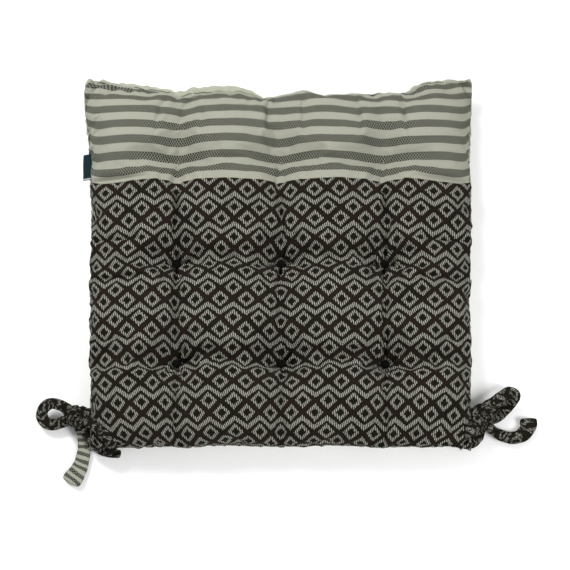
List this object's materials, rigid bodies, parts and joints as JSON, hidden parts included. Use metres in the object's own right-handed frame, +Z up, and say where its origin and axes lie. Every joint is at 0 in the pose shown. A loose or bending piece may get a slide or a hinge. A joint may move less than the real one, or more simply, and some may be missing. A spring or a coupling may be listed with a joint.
{
  "type": "chair seat pad",
  "caption": "Square tufted seat pad with a woven diamond cover, a striped band along one edge, a plain backing, thread tufts and strap ties tied in bows.",
  "frame": {"origin": "centre of the pad's underside, on the surface that it rests on", "axes": "+Z up through the pad, +Y towards the edge with the striped band, +X to the right seen from the tie side, ties near the two -Y corners"},
  "size_m": [0.5173, 0.4367, 0.056],
  "materials": {
    "jacquard_cotton": "matt jacquard weave, dark ground with off-white diamond dashes",
    "striped_cotton": "matt basket weave, cream with dotted black stripes",
    "cream_cotton": "matt plain weave, slightly fuzzy",
    "fibre_batt": "soft bonded fibre wadding",
    "dark_thread": "twisted dark thread",
    "cream_thread": "twisted cream thread",
    "label_tape": "fine woven tape, plain"
  },
  "bodies": {
    "pad": {"top_cover": "jacquard_cotton", "backing_cover": "cream_cotton", "filling_upper": "fibre_batt", "filling_lower": "fibre_batt", "seam_thread": "dark_thread", "closing_seam_thread": "cream_thread", "tuft_front_left": "dark_thread", "tuft_front_centre": "dark_thread", "tuft_front_right": "dark_thread", "tuft_middle_left": "dark_thread", "tuft_middle_centre": "dark_thread", "tuft_middle_right": "dark_thread", "tuft_back_left": "cream_thread", "tuft_back_centre": "cream_thread", "tuft_back_right": "cream_thread", "tie_left_root": "jacquard_cotton", "tie_right_root": "jacquard_cotton"},
    "label": {"side_label": "label_tape"},
    "tie_left": {"tie_left_lead_upper": "jacquard_cotton", "tie_left_lead_lower": "jacquard_cotton", "tie_left_loop_outer": "jacquard_cotton", "tie_left_loop_inner": "jacquard_cotton", "tie_left_tail_long": "striped_cotton", "tie_left_tail_short": "jacquard_cotton", "tie_left_knot": "jacquard_cotton"},
    "tie_right": {"tie_right_lead_upper": "jacquard_cotton", "tie_right_lead_lower": "jacquard_cotton", "tie_right_loop_outer": "jacquard_cotton", "tie_right_loop_inner": "jacquard_cotton", "tie_right_tail_long": "jacquard_cotton", "tie_right_tail_short": "jacquard_cotton", "tie_right_knot": "jacquard_cotton"}
  },
  "joints": [
    {"name": "label_flap", "type": "hinge", "parent": "pad", "child": "label", "pos_m": [-0.19925, 0.1075, 0.022], "axis": [0, 1, 0], "range_deg": [-30, 110], "stiffness_Nm_per_rad": 0.0005},
    {"name": "tie_left_swing", "type": "hinge", "parent": "pad", "child": "tie_left", "pos_m": [-0.20413, -0.16085, 0.022], "axis": [0, 0, 1], "range_deg": [-35, 0]},
    {"name": "tie_right_swing", "type": "hinge", "parent": "pad", "child": "tie_right", "pos_m": [0.20413, -0.16085, 0.022], "axis": [0, 0, 1], "range_deg": [0, 35]}
  ]
}
